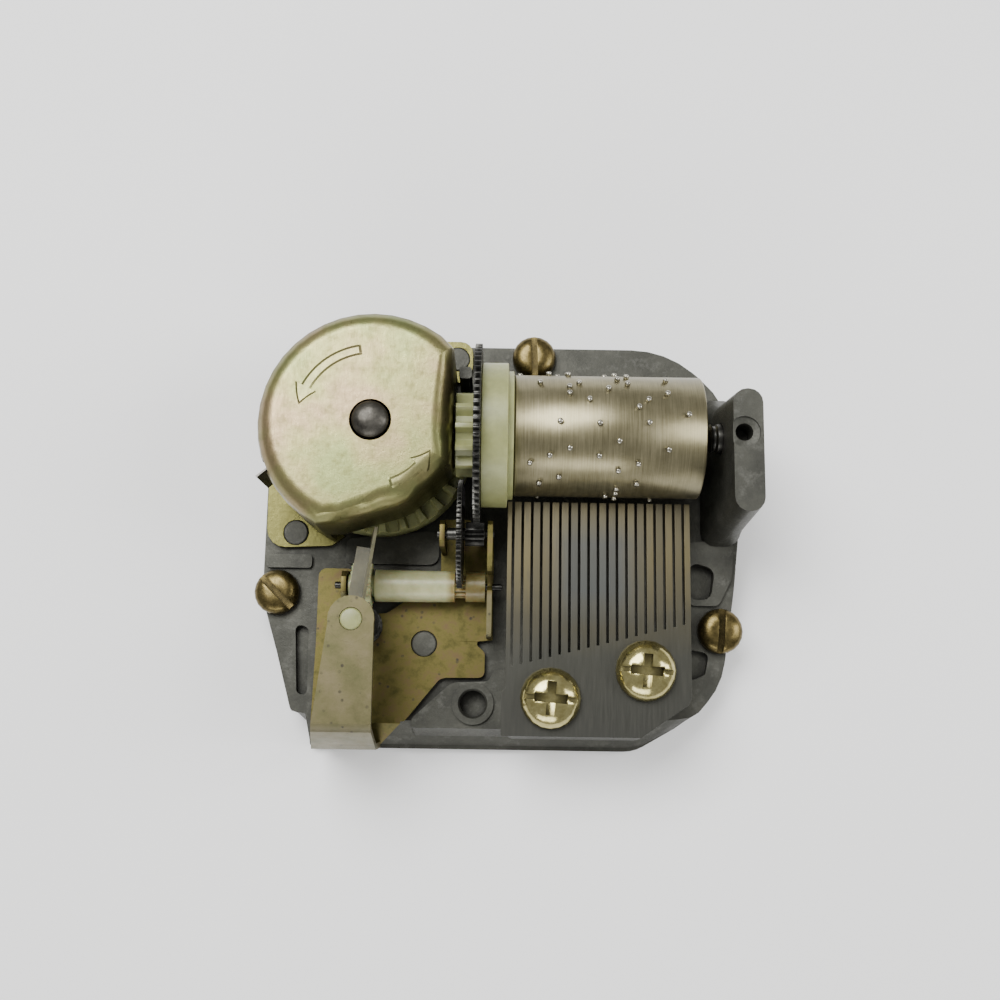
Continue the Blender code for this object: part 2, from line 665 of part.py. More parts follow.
def note_x(track):
    """Middle of a comb tooth, counted from 1 at the left."""
    pitch = (LAST_SLOT_X - FIRST_SLOT_X) / NOTES
    return FIRST_SLOT_X + pitch * (track - 0.5)


def pin_places():
    """Generic practice pattern of broken chords: (track, angle) with no two pins touching."""
    dice = random.Random(18)
    places = []
    for step in range(STEPS_PER_TURN):
        angle = 2 * math.pi * step / STEPS_PER_TURN
        root = 1 + (step * 5) % 7
        chord = [root, root + 4 + step % 3, root + 9 + (step // 2) % 3]
        for track in chord:
            if track <= NOTES and dice.random() < 0.55:
                places.append((track, angle + dice.uniform(-0.02, 0.02)))
    return places


def make_cylinder():
    """Pinned shell with its end cap, hub, wheel and crown pinion on one arbor."""
    shell = cylinder_piece("cylinder_shell", [circle(CYL_RADIUS, 48),
                                              circle(CYL_RADIUS - CYL_WALL, 24)],
                           CYL_LEFT, CYL_RIGHT, CYLINDER_METAL)
    bm = bmesh.new()
    for track, angle in pin_places():
        pin = bmesh.ops.create_cone(bm, cap_ends=True, segments=4, radius1=PIN_RADIUS * MM,
                                    radius2=PIN_RADIUS * MM, depth=(PIN_LENGTH + 0.25) * MM)
        out = Matrix.Translation((0, 0, (CYL_RADIUS + (PIN_LENGTH - 0.25) / 2) * MM))
        lean = Matrix.Rotation(math.pi / 2, 4, "Y")
        spin = Matrix.Rotation(angle, 4, "Z")
        lift = Matrix.Translation((0, 0, note_x(track) * MM))
        bmesh.ops.transform(bm, verts=pin["verts"], matrix=lift @ spin @ lean @ out)
    pins = as_tool(object_from("pins", bm), (0, CYL_Y, CYL_Z), along_x=True)
    boolean(shell, pins, "UNION")
    cylinder_piece("cylinder_end_cap", [circle(CYL_RADIUS - CYL_WALL - 0.12, 24), circle(0.95, 20)],
                   CYL_RIGHT - 0.9, CYL_RIGHT - 0.2, BRASS)
    step_radius = CYL_RADIUS - CYL_WALL - 0.12
    hub = turned("cylinder_hub", [(0.95, 1.9), (step_radius, 1.9), (step_radius, 1.22),
                                  (6.35, 1.22), (6.35, 0.72), (7.15, 0.66), (7.15, -1.88),
                                  (0.95, -1.88)], steps=36)
    place(hub, NYLON, (0, CYL_Y, CYL_Z), along_x=True)
    wheel_pitch = WHEEL_MODULE * WHEEL_TEETH / 2
    to_leaf = math.atan2(SECOND_Z - CYL_Z, SECOND_Y - CYL_Y)
    teeth = toothed(WHEEL_TEETH, wheel_pitch + 0.25, wheel_pitch - 0.32, 0.22, 0.62, to_leaf)
    cylinder_piece("cylinder_wheel", [teeth, circle(0.95, 20)], -2.6, -1.92, STEEL)
    leaves = toothed(CROWN_PINION_TEETH, CROWN_PINION_TIP, CROWN_PINION_ROOT, 0.21, 0.62,
                     -math.pi / 2)
    cylinder_piece("crown_pinion", [leaves, circle(0.95, 20)], -4.38, -2.66, NYLON)
    arbor = turned("cylinder_arbor", [(0, 21.6), (0.45, 21.4), (0.45, 20.4), (0.9, 20.35),
                                      (0.9, -4.5), (0.6, -4.6), (0.6, -5.5), (0, -5.6)], steps=16)
    place(arbor, STEEL, (0, CYL_Y, CYL_Z), along_x=True)


def make_bearing_screw():
    """Threaded adjusting screw in the post, whose bored end carries the arbor."""
    profile = [(0, 24.4), (1.2, 24.4), (1.48, 24.1)]
    for turn in range(3):
        top = 24.1 - turn * 1.15
        profile += [(1.48, top - 0.5), (1.25, top - 0.7), (1.25, top - 0.95), (1.48, top - 1.15)]
    profile += [(1.2, 20.45), (0.55, 20.45), (0.55, 21.9), (0, 22.1)]
    screw = turned("bearing_screw", profile, steps=16)
    place(screw, STEEL, (0, CYL_Y, CYL_Z), along_x=True)
    slot = box("bearing_screw_slot", (-2, -0.2, 24.0), (2, 0.2, 25))
    boolean(screw, as_tool(slot, (0, CYL_Y, CYL_Z), along_x=True), "DIFFERENCE")


# ---------------------------------------------------------------- gear train


def make_second_wheel():
    """Second wheel and the leaf pinion that the cylinder wheel drives."""
    here = (0, SECOND_Y, SECOND_Z)
    to_cylinder = math.atan2(CYL_Z - SECOND_Z, CYL_Y - SECOND_Y)
    leaf_pitch = WHEEL_MODULE * LEAF_TEETH / 2
    leaves = toothed(LEAF_TEETH, leaf_pitch + 0.22, leaf_pitch - 0.3, 0.2, 0.62,
                     gap_phase(LEAF_TEETH, to_cylinder))
    pinion = prism("second_pinion", [leaves], -3.35, -1.5)
    place(pinion, STEEL, here, along_x=True)
    journal = turned("second_journals", [(0, -0.45), (0.4, -0.55), (0.4, -1.35), (0.62, -1.4),
                                         (0.62, -5.1), (0.4, -5.15), (0.4, -6.1), (0, -6.2)],
                     steps=14)
    boolean(pinion, as_tool(journal, here, along_x=True), "UNION")
    second_pitch = SECOND_MODULE * SECOND_TEETH / 2
    to_rod = math.atan2(ROD_Z - SECOND_Z, ROD_Y - SECOND_Y)
    teeth = toothed(SECOND_TEETH, second_pitch + 0.15, second_pitch - 0.2, 0.22, 0.62, to_rod)
    place(prism("second_wheel", [teeth, circle(0.67, 16)], -4.1, -3.6), STEEL, here, along_x=True)


def make_governor_rod():
    """Nylon rod: pinion at the right, plain shaft, worm wheel at the left, on a steel pin."""
    here = (0, ROD_Y, ROD_Z)
    to_second = math.atan2(SECOND_Z - ROD_Z, SECOND_Y - ROD_Y)
    shaft = turned("governor_rod", [(0, -1.35), (1.5, -1.35), (1.5, -3.3), (0.75, -3.3),
                                    (0.75, -4.4), (1.55, -4.4), (1.64, -12.0), (1.64, -12.4),
                                    (1.1, -12.5), (1.1, -15.1), (0, -15.1)], steps=24)
    place(shaft, NYLON, here, along_x=True)
    rod_pitch = SECOND_MODULE * ROD_TEETH / 2
    leaves = toothed(ROD_TEETH, rod_pitch + 0.14, rod_pitch - 0.22, 0.2, 0.62,
                     gap_phase(ROD_TEETH, to_second))
    pinion = prism("rod_leaves", [leaves], -4.6, -3.1)
    boolean(shaft, as_tool(pinion, here, along_x=True), "UNION")
    boolean(shaft, as_tool(worm_wheel_teeth(), here, along_x=True), "UNION")
    bore = rod("rod_pin_bore", 0.42, -16, 0, segments=14)
    boolean(shaft, as_tool(bore, here, along_x=True), "DIFFERENCE")
    pin = turned("governor_rod_pin", [(0, 0.4), (0.36, 0.3), (0.36, -16.5), (0, -16.6)], steps=12)
    place(pin, STEEL, here, along_x=True)


def worm_wheel_teeth():
    """Helical teeth of the worm wheel, with a gap facing the worm in the wheel's middle."""
    half = 1.0
    slope = WORM_LEAD / (2 * math.pi * (WORM_TIP + WORM_ROOT) / 2)
    twist = slope * half / WORM_WHEEL_PITCH
    rings = []
    for side in (-1, 0, 1):
        phase = gap_phase(WORM_WHEEL_TEETH, math.pi) + side * twist
        outline = toothed(WORM_WHEEL_TEETH, WORM_WHEEL_TIP, WORM_WHEEL_ROOT, 0.2, 0.55, phase)
        rings.append(at_height(outline, WORM_X + side * half))
    return loft("worm_wheel_teeth", rings)


def make_worm():
    """Two-start worm on a steel spindle that stands in the foot bearing and the arm's bearing."""
    here = (WORM_X, WORM_Y, 0)
    spindle = turned("worm", [(0, 14.85), (0.3, 14.8), (0.3, 14.3), (0.5, 14.2), (0.5, 8.6),
                              (0.9, 8.5), (0.9, 5.06), (0.5, 5.03), (0.3, 5.01), (0.3, 4.5),
                              (0, 4.42)], steps=14)
    place(spindle, STEEL, here)
    lobe = ((-38, WORM_ROOT), (-22, WORM_TIP), (0, WORM_TIP), (22, WORM_TIP), (38, WORM_ROOT),
            (64, WORM_ROOT), (90, WORM_ROOT), (116, WORM_ROOT))
    section = [(offset + 180 * start, radius) for start in range(WORM_STARTS)
               for offset, radius in lobe]
    foot = ROD_Z - WORM_LENGTH / 2
    layers = 15
    rings = []
    for i in range(layers + 1):
        z = foot + WORM_LENGTH * i / layers
        turn = 90 + 360 * (z - ROD_Z) / WORM_LEAD
        rings.append([(r * math.cos(math.radians(a + turn)), r * math.sin(math.radians(a + turn)),
                       z) for a, r in section])
    boolean(spindle, as_tool(loft("worm_thread", rings), here), "UNION")


def make_fan():
    """Two-winged air brake on the worm's spindle, each wing a web with a leaning vane."""
    here = (WORM_X, WORM_Y, 0)
    hub = turned("fan", [(0.55, 13.9), (1.15, 13.9), (1.3, 13.6), (1.3, 9.0), (0.55, 9.0)],
                 steps=18)
    place(hub, CLEAR_NYLON, here)
    for side in (0, 1):
        turn = Matrix.Rotation(math.pi * side + math.radians(FAN_REST_TURN), 4, "Z")
        for name, low, high, lean in (
            ("vane", (-FAN_SHEET / 2, 0.9, -2.2), (FAN_SHEET / 2, FAN_REACH, 2.2), 9),
            ("web", (-1.45, 0.9, -0.16), (0.1, FAN_REACH - 1.9, 0.16), 0),
        ):
            wing = box(f"fan_{name}_{side}", low, high)
            shift = Matrix.Translation(Vector((0.35, 0, 11.4)) * MM)
            wing.data.transform(turn @ shift @ Matrix.Rotation(math.radians(lean), 4, "Y"))
            boolean(hub, as_tool(wing, here), "UNION")
    boolean(hub, as_tool(rod("fan_bore", 0.55, 8, 15, segments=14), here), "DIFFERENCE")


# ---------------------------------------------------------------- governor bracket


def bracket_outline():
    """Flat outline of the bracket on the bedplate's floor."""
    corners = (
        (-18.7, -23.05, 0), (-9.3, -22.9, 0.4), (-5.9, -18.7, 0.8), (-5.3, -18.5, 0.5),
        (-1.3, -18.45, 0.6), (-1.3, -15.9, 0.5), (-2.1, -15.2, 0.3), (-2.1, -14.8, 0.2),
        (-0.55, -14.65, 0.1), (-0.55, -3.25, 0.1), (-2.95, -3.25, 0.3), (-2.95, -2.3, 0.3),
        (-5.95, -2.3, 0.3), (-5.95, -10.1, 0.8), (-8.8, -10.3, 1.2), (-11.4, -12.1, 1.2),
        (-15.15, -12.1, 0.6), (-15.15, -7.55, 0.3), (-18.5, -7.55, 0.8), (-18.5, -15.0, 1.0),
    )
    return rounded(corners)


def upright(name, outline, x0, x1):
    """Ear of the bracket: a (y, z) outline as sheet between two X planes."""
    ear = prism(name, [outline], x0, x1)
    return as_tool(ear, along_x=True)


def ribbon(name, stations, thick):
    """Bent sheet through (y, z, left, right) stations along its middle."""
    middle = [Vector(station[:2]) for station in stations]
    rings = []
    for i, point in enumerate(middle):
        ways = []
        if i > 0:
            ways.append((point - middle[i - 1]).normalized())
        if i < len(middle) - 1:
            ways.append((middle[i + 1] - point).normalized())
        along = sum(ways, Vector((0, 0))).normalized()
        across = Vector((-along.y, along.x))
        reach = thick / 2 / along.dot(ways[0])
        near, far = point + across * reach, point - across * reach
        left, right = stations[i][2:]
        rings.append([(left, *far), (right, *far), (right, *near), (left, *near)])
    return as_tool(loft(name, rings))


def make_governor_bracket():
    """Riveted sheet with bearing ears, front tab and the arm that holds the fan's top pivot."""
    holes = [circle(RIVET_HOLE, 24, BRACKET_RIVET), circle(1.25, 20, (WORM_X, WORM_Y)),
             circle(1.0, 20, (-4.1, -8.9))]
    bracket = place(prism("governor_bracket", [bracket_outline(), *holes], SHEET_Z,
                          SHEET_Z + SHEET), BRASS)
    ear_foot = SHEET_Z + 0.1
    right_ear = ((-14.55, ear_foot), (-3.35, ear_foot), (-3.35, 11.3), (-3.8, 11.75),
                 (-7.9, 11.75), (-8.3, 11.3), (-8.35, 7.9), (-9.4, 7.7), (-9.6, 8.9),
                 (-10.0, 9.25), (-14.1, 9.25), (-14.5, 8.9))
    left_ear = ((-6.05, ear_foot), (-3.15, ear_foot), (-3.3, 10.9), (-3.8, 11.45), (-5.4, 11.45),
                (-5.9, 10.9))
    rod_ear = ((-11.2, ear_foot), (-7.75, ear_foot), (-8.1, 7.6), (-8.7, 8.1), (-10.2, 8.1),
               (-10.8, 7.6))
    boolean(bracket, upright("right_ear", right_ear, -1.15, -0.65), "UNION")
    boolean(bracket, upright("left_ear", left_ear, -5.85, -5.35), "UNION")
    boolean(bracket, upright("rod_ear", rod_ear, -15.75, -15.25), "UNION")
    tab = ((-22.2, 4.5, -18.6, -9.7), (-22.95, 4.5, -18.6, -9.7), (-24.95, 2.1, -18.4, -11.8))
    boolean(bracket, ribbon("front_tab", tab, SHEET), "UNION")
    arm = ((-25.33, 1.75, -18.0, -11.9), (-25.3, 8.2, -18.0, -11.7), (-23.55, 14.1, -17.2, -11.6),
           (-22.9, ARM_Z, -17.1, -11.56), (-13.6, ARM_Z, -15.9, -11.6))
    boolean(bracket, ribbon("arm", arm, ARM_SHEET), "UNION")
    eye = rod("arm_eye", 2.2, ARM_Z - ARM_SHEET / 2 - 0.01, ARM_Z + ARM_SHEET / 2 + 0.01)
    boolean(bracket, as_tool(eye, (WORM_X, WORM_Y, 0)), "UNION")
    bore = rod("arm_bore", 1.1, 14, 16, segments=20)
    boolean(bracket, as_tool(bore, (WORM_X, WORM_Y, 0)), "DIFFERENCE")
    second_bore = rod("second_bore", 0.47, -7, 0, segments=14)
    boolean(bracket, as_tool(second_bore, (0, SECOND_Y, SECOND_Z), along_x=True), "DIFFERENCE")
    rod_bore = rod("rod_bore", 0.42, -17, 0, segments=14)
    boolean(bracket, as_tool(rod_bore, (0, ROD_Y, ROD_Z), along_x=True), "DIFFERENCE")


def make_fan_bearings():
    """Nylon bearings of the fan's spindle: a cap in the arm and a cup in the bracket."""
    here = (WORM_X, WORM_Y, 0)
    top = turned("governor_top_bearing", [(0, 15.2), (0.9, 15.15), (1.05, 15.0), (1.05, 14.36),
                                          (0.38, 14.36), (0.38, 14.9), (0, 14.9)], steps=18)
    place(top, NYLON, here)
    foot = turned("worm_foot_bearing", [(0, 4.38), (0.38, 4.38), (0.38, 4.97), (1.1, 4.97),
                                        (1.2, 4.9), (1.2, 4.16), (0, 4.16)], steps=18)
    place(foot, NYLON, here)


# ---------------------------------------------------------------- comb and screws


def make_comb():
    """Steel comb: eighteen tuned teeth and a guard strip at each side."""
    pitch = (LAST_SLOT_X - FIRST_SLOT_X) / NOTES
    outline = [(0.5, -24.04), (13.9, -24.04), (18.4, -20.9), (18.8, -20.3), (18.8, COMB_TIP_Y)]
    for i in reversed(range(NOTES + 1)):
        x = FIRST_SLOT_X + pitch * i
        end = FIRST_SLOT_END_Y + (LAST_SLOT_END_Y - FIRST_SLOT_END_Y) * i / NOTES
        outline += [(x + SLOT_WIDTH / 2, COMB_TIP_Y), (x + SLOT_WIDTH / 2, end),
                    (x - SLOT_WIDTH / 2, end), (x - SLOT_WIDTH / 2, COMB_TIP_Y)]
    outline += [(0.8, COMB_TIP_Y), (0.8, -19.5), (0.4, -19.9), (0.4, -23.9)]
    holes = [circle(COMB_HOLE, 24, centre) for centre in COMB_SCREWS.values()]
    place(prism("comb", [outline, *holes], COMB_TOP_Z - COMB_THICK, COMB_TOP_Z), COMB_STEEL)


def make_weights():
    """Lead weights under the tips of the bass teeth, shorter towards the treble."""
    for track in range(1, WEIGHTED_TEETH + 1):
        length = 4.4 - 0.35 * track
        depth = 1.3 - 0.09 * track
        x = note_x(track)
        top = COMB_TOP_Z - COMB_THICK - SEAT_GAP
        weight = box(f"tooth_weight_{track}", (-0.28, -length, top - depth), (0.28, 0, top))
        place(weight, LEAD, (x, COMB_TIP_Y - 0.2, 0))


def make_screws():
    """Comb screws with a combined slot and cross, and slotted mounting screws."""
    for name, centre in COMB_SCREWS.items():
        seat = COMB_TOP_Z + SEAT_GAP
        profile = [(0, seat + 1.95), (0.9, seat + 1.92), (1.7, seat + 1.75), (2.35, seat + 1.4),
                   (2.8, seat + 0.85), (COMB_HEAD, seat + 0.4), (COMB_HEAD, seat),
                   (COMB_SHANK, seat), (COMB_SHANK, 5.1), (0.9, 4.6), (0, 4.6)]
        screw = place(turned(name, profile, steps=20), BRASS, (*centre, 0))
        for kind, length, half, floor in (("slot", 3.4, 0.25, 1.15), ("bar", 1.6, 0.42, 0.5),
                                          ("post", 0.42, 1.6, 0.52)):
            recess = box(f"{name}_{kind}", (-length, -half, seat + floor), (length, half, 14))
            recess.rotation_euler = (0, 0, math.radians(-4))
            boolean(screw, as_tool(recess, (*centre, 0)), "DIFFERENCE")
    for name, (centre, turn) in MOUNTING_SCREWS.items():
        seat = LOBE_TOP_Z + SEAT_GAP
        profile = [(0, seat + 1.6), (1.1, seat + 1.56), (1.75, seat + 1.4), (2.15, seat + 1.05),
                   (MOUNT_HEAD, seat + 0.6), (MOUNT_HEAD, seat), (MOUNT_SHANK, seat),
                   (MOUNT_SHANK, 0.9), (0.9, 0.55), (0, 0.55)]
        screw = place(turned(name, profile, steps=20), BRASS, (*centre, 0))
        slot = box(f"{name}_slot", (-3, -0.33, seat + 0.75), (3, 0.33, 8))
        slot.rotation_euler = (0, 0, math.radians(turn))
        boolean(screw, as_tool(slot, (*centre, 0)), "DIFFERENCE")


make_bedplate()
make_spring_housing()
make_spring_cover()
make_mainspring()
make_winding_arbor()
make_ratchet()
make_drive_gear()
make_cylinder()
make_bearing_screw()
make_second_wheel()
make_governor_rod()
make_worm()
make_fan()
make_governor_bracket()
make_fan_bearings()
make_comb()
make_weights()
make_screws()
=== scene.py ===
"""Looks of the wind-up musical movement: fine surfaces, materials, light and camera."""
import json
import math
import random

import bmesh
import bpy
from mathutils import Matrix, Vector


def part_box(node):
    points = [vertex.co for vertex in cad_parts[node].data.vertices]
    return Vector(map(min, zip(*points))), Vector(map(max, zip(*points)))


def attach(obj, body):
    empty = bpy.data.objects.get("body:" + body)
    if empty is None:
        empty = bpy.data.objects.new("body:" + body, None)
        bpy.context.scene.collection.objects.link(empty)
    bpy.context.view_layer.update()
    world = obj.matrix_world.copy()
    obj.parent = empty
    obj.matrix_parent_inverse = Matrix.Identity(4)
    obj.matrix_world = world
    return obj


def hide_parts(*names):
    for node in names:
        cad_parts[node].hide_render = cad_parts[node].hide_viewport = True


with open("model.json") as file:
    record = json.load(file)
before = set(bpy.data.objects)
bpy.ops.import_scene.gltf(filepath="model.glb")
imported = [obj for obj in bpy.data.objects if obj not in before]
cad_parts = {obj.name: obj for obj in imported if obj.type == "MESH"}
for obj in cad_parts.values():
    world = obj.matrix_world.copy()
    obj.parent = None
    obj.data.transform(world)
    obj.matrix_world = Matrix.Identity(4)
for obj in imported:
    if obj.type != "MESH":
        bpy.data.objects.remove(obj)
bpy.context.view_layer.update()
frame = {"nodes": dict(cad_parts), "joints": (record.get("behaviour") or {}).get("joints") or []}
NODES = frame["nodes"]

MM = 0.001
JOINTS = {joint["name"]: joint for joint in frame["joints"]}
MOTOR = JOINTS["winding"]["pos_m"]
CYLINDER = JOINTS["cylinder_turn"]["pos_m"]

# The cylinder's tube, in millimetres.
CYL_RADIUS = 5.98
CYL_BORE = 5.48
TUBE_CHAMFER = 0.12
TUBE_SIDES = 120

# Its pins and the comb's teeth, in millimetres; tracks are counted from the left.
PIN_TIP_RADIUS = 6.38
PIN_RADIUS = 0.27
PIN_SIDES = 10
NOTES = 18
STEPS_PER_TURN = 48
FIRST_NOTE_X = 1.36
NOTE_PITCH = (18.12 - 1.36) / NOTES
FRAME_SHIFT_X = 0.02

# Embossed arrows on top of the spring housing: (start, end) in radians and radius.
WINDING_ARROWS = ((1.72, 2.95, 6.9), (-1.25, -0.45, 6.4))
ARROW_HEAD = 1.9
ARROW_HALF_WIDTH = 1.15
ARROW_LOWEST_Z = 16.9

# Edges sharper than these angles, in degrees, are kept sharp in shading or bevelled.
SHARP_ANGLE = 32
BEVEL_ANGLE = 34

# Camera: lens in millimetres, place in millimetres, lean and roll in degrees.
LENS = 41.4
CAMERA_PLACE = (0.02, -16.84, 122.6)
CAMERA_LEAN = 10
CAMERA_ROLL = 0.9

# Soft lights, all aimed at the origin: place and size in metres, power in watts.
SOFTBOXES = {
    "key_softbox": ((-0.12, 0.16, 0.34), (0.26, 0.2), 2.1),
    "side_softbox": ((0.30, 0.02, 0.22), (0.16, 0.22), 0.8),
    "front_softbox": ((-0.05, -0.34, 0.16), (0.3, 0.12), 0.6),
}


# ---------------------------------------------------------------- node helpers


class Shader:
    """A material whose nodes are added one call at a time; positions are in millimetres."""

    def __init__(self, name):
        self.material = bpy.data.materials.new(name)
        self.material.use_nodes = True
        self.tree = self.material.node_tree
        self.principled = self.tree.nodes["Principled BSDF"]
        coordinates = self.tree.nodes.new("ShaderNodeTexCoord")
        scale = self.tree.nodes.new("ShaderNodeVectorMath")
        scale.operation = "SCALE"
        scale.inputs["Scale"].default_value = 1 / MM
        self.link(coordinates.outputs["Object"], scale.inputs[0])
        self.place = scale.outputs[0]

    def link(self, out, into):
        self.tree.links.new(out, into)

    def stretched(self, factors):
        """Position with each axis multiplied, for streaks."""
        node = self.tree.nodes.new("ShaderNodeVectorMath")
        node.operation = "MULTIPLY"
        node.inputs[1].default_value = factors
        self.link(self.place, node.inputs[0])
        return node.outputs[0]

    def noise(self, scale, detail=4.0, rough=0.6, vector=None, distortion=0.0):
        node = self.tree.nodes.new("ShaderNodeTexNoise")
        node.inputs["Scale"].default_value = scale
        node.inputs["Detail"].default_value = detail
        node.inputs["Roughness"].default_value = rough
        node.inputs["Distortion"].default_value = distortion
        self.link(vector or self.place, node.inputs["Vector"])
        return node.outputs["Fac"]

    def lottery(self, value):
        """Random number that is the same wherever the value is the same."""
        node = self.tree.nodes.new("ShaderNodeTexWhiteNoise")
        node.noise_dimensions = "1D"
        self.link(value, node.inputs["W"])
        return node.outputs["Value"]

    def specks(self, scale, low, high):
        """Round spots: 1 inside a spot and 0 outside."""
        node = self.tree.nodes.new("ShaderNodeTexVoronoi")
        node.inputs["Scale"].default_value = scale
        self.link(self.place, node.inputs["Vector"])
        return self.remap(node.outputs["Distance"], low, high, 1, 0)

    def remap(self, value, low, high, to_low, to_high):
        node = self.tree.nodes.new("ShaderNodeMapRange")
        node.inputs["From Min"].default_value = low
        node.inputs["From Max"].default_value = high
        node.inputs["To Min"].default_value = to_low
        node.inputs["To Max"].default_value = to_high
        self.link(value, node.inputs["Value"])
        return node.outputs["Result"]

    def axis(self, letter):
        node = self.tree.nodes.new("ShaderNodeSeparateXYZ")
        self.link(self.place, node.inputs[0])
        return node.outputs[letter]

    def math(self, operation, a, b=0):
        node = self.tree.nodes.new("ShaderNodeMath")
        node.operation = operation
        for socket, value in zip(node.inputs, (a, b)):
            if isinstance(value, (int, float)):
                socket.default_value = value
            else:
                self.link(value, socket)
        return node.outputs[0]

    def shade_recesses(self, colour, distance, recess_shade, reach=0.75):
        """Painted shade: darken a colour in corners and recesses narrower than a distance in
        millimetres.
        """
        node = self.tree.nodes.new("ShaderNodeAmbientOcclusion")
        node.samples = 8
        node.inputs["Distance"].default_value = distance * MM
        return self.mix(self.remap(node.outputs["AO"], 0.25, reach, 1, 0), colour, recess_shade)

    def ramp(self, value, stops):
        node = self.tree.nodes.new("ShaderNodeValToRGB")
        elements = node.color_ramp.elements
        while len(elements) < len(stops):
            elements.new(0.5)
        for element, (position, colour) in zip(elements, stops):
            element.position = position
            element.color = (*colour, 1)
        self.link(value, node.inputs[0])
        return node.outputs["Color"]

    def mix(self, share, a, b):
        node = self.tree.nodes.new("ShaderNodeMix")
        node.data_type = "RGBA"
        self.link(share, node.inputs["Factor"])
        for socket, value in ((node.inputs[6], a), (node.inputs[7], b)):
            if isinstance(value, tuple):
                socket.default_value = (*value, 1)
            else:
                self.link(value, socket)
        return node.outputs[2]

    def finish(self, colour, roughness, metallic, bump=None, strength=0.2, height=0.02):
        """Join the results to the Principled shader; bump height is in millimetres."""
        self.link(colour, self.principled.inputs["Base Color"])
        if isinstance(roughness, float):
            self.principled.inputs["Roughness"].default_value = roughness
        else:
            self.link(roughness, self.principled.inputs["Roughness"])
        self.principled.inputs["Metallic"].default_value = metallic
        if bump is not None:
            node = self.tree.nodes.new("ShaderNodeBump")
            node.inputs["Strength"].default_value = strength
            node.inputs["Distance"].default_value = height * MM
            self.link(bump, node.inputs["Height"])
            self.link(node.outputs["Normal"], self.principled.inputs["Normal"])
        return self.material


# ---------------------------------------------------------------- materials


def cast_zinc():
    s = Shader("cast_zinc")
    blotch = s.noise(0.22, 6, 0.65)
    grain = s.noise(5.0, 5, 0.75)
    worn = s.remap(s.noise(0.5, 8, 0.72), 0.54, 0.72, 0, 0.75)
    base = s.ramp(blotch, ((0.30, (0.036, 0.036, 0.030)), (0.55, (0.062, 0.062, 0.051)),
                           (0.75, (0.098, 0.096, 0.080))))
    rubbed = s.ramp(grain, ((0.35, (0.085, 0.085, 0.074)), (0.7, (0.17, 0.168, 0.148))))
    colour = s.mix(worn, base, rubbed)
    rough = s.remap(grain, 0.3, 0.7, 0.40, 0.60)
    # Painted shade darkens the casting's corners and recesses.
    colour = s.shade_recesses(colour, 1.2, (0.020, 0.020, 0.017), 0.7)
    return s.finish(colour, rough, 0.65, s.noise(3.2, 8, 0.75), 0.45, 0.07)


def embossed_arrow(s, start, end, radius):
    """Height of a curved arrow about the motor axis, between two angles in radians."""
    x = s.math("SUBTRACT", s.axis("X"), MOTOR[0] / MM)
    y = s.math("SUBTRACT", s.axis("Y"), MOTOR[1] / MM)
    squares = s.math("ADD", s.math("MULTIPLY", x, x), s.math("MULTIPLY", y, y))
    off = s.math("ABSOLUTE", s.math("SUBTRACT", s.math("SQRT", squares), radius))
    angle = s.math("ARCTAN2", y, x)
    neck = end - ARROW_HEAD / radius
    ends = s.math("MULTIPLY", s.remap(angle, start, start + 0.04, 0, 1),
                  s.math("LESS_THAN", angle, neck))
    shaft = s.math("MULTIPLY", ends, s.remap(off, 0.30, 0.52, 1, 0))
    half = s.remap(angle, neck, end, ARROW_HALF_WIDTH, 0)
    edge = s.remap(s.math("SUBTRACT", off, half), -0.2, 0.0, 1, 0)
    head = s.math("MULTIPLY", edge, s.math("GREATER_THAN", angle, neck))
    return s.math("MAXIMUM", shaft, head)


def chromate(name, pale, stain_and_shade_colour):
    """Yellow-passivated drawn steel with pink and green tints and embossed winding arrows; its
    wall has painted shade, darker towards the base.
    """
    s = Shader(name)
    tint = s.noise(0.16, 3, 0.5)
    cloud = s.noise(0.9, 6, 0.65)
    sheen = s.ramp(tint, ((0.36, (0.205, 0.226, 0.088)), (0.5, pale),
                          (0.64, (0.275, 0.208, 0.116))))
    # Painted shade: the wall and rounded rim darken towards the bottom.
    wall_shade = s.remap(s.axis("Z"), 13.0, 17.2, 1, 0)
    colour = s.mix(wall_shade, sheen, stain_and_shade_colour)
    stain = s.remap(cloud, 0.50, 0.72, 0, 0.5)
    colour = s.mix(stain, colour, stain_and_shade_colour)
    top = s.math("GREATER_THAN", s.axis("Z"), ARROW_LOWEST_Z)
    arrows = s.math("ADD", *(embossed_arrow(s, *arrow) for arrow in WINDING_ARROWS))
    arrows = s.math("MULTIPLY", arrows, top)
    colour = s.mix(s.math("MULTIPLY", arrows, 0.25), colour, (0.40, 0.37, 0.19))
    scratches = s.noise(9.0, 2, 0.5, s.stretched((1, 0.12, 1)))
    rough = s.remap(s.math("ADD", cloud, scratches), 0.7, 1.3, 0.27, 0.42)
    height = s.math("ADD", s.math("MULTIPLY", s.noise(2.0, 6, 0.6), 0.12), arrows)
    return s.finish(colour, rough, 0.88, height, 0.8, 0.16)


